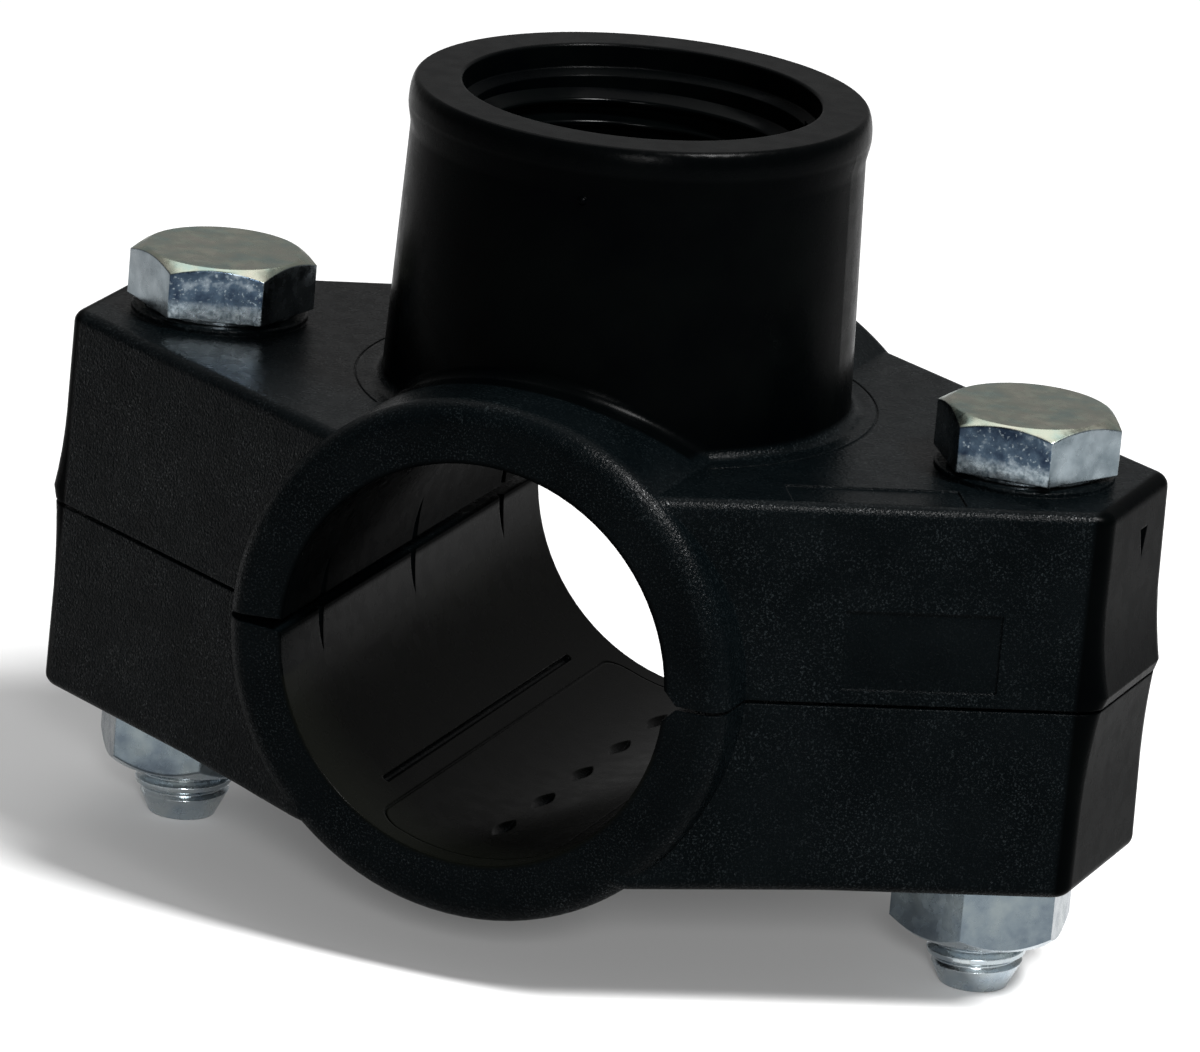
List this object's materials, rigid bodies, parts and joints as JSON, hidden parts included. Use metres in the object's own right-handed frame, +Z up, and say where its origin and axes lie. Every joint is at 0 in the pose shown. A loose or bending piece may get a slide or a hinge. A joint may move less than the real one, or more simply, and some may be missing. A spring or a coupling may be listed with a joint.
{
  "type": "tapping saddle",
  "caption": "Split moulded pipe saddle with an upright female-threaded outlet, closed round the pipe by hexagon bolts and nuts.",
  "frame": {"origin": "centre of the pipe bore, on its axis and on the plane where the two halves part", "axes": "+X from bolt to bolt, +Y along the pipe bore, +Z up along the threaded outlet"},
  "size_m": [0.09, 0.052, 0.0666],
  "materials": {
    "moulding": "fine-grained satin",
    "seal_rubber": "smooth",
    "zinc": "bright zinc plate"
  },
  "bodies": {
    "clamp_top": {"upper_half": "moulding", "outlet_seal": "seal_rubber", "bolt_right": "zinc", "bolt_left": "zinc"},
    "clamp_bottom": {"lower_half": "moulding"},
    "turning_nut_right": {"nut_right": "zinc"},
    "turning_nut_left": {"nut_left": "zinc"}
  },
  "joints": [
    {"name": "clamp_opening", "type": "slide", "parent": "clamp_top", "child": "clamp_bottom", "axis": [0, 0, -1], "range_m": [0, 0.00438]},
    {"name": "nut_right_turn", "type": "hinge", "parent": "clamp_bottom", "child": "turning_nut_right", "pos_m": [0.0344, 0, -0.0184], "axis": [0, 0, -1], "range_deg": [0, 1260]},
    {"name": "nut_left_turn", "type": "hinge", "parent": "clamp_bottom", "child": "turning_nut_left", "pos_m": [-0.0344, 0, -0.0184], "axis": [0, 0, -1], "range_deg": [0, 1260]}
  ],
  "couplings": [
    {"joint": "nut_right_turn", "follows": "clamp_opening", "rad_per_m": 5026.5},
    {"joint": "nut_left_turn", "follows": "clamp_opening", "rad_per_m": 5026.5}
  ]
}
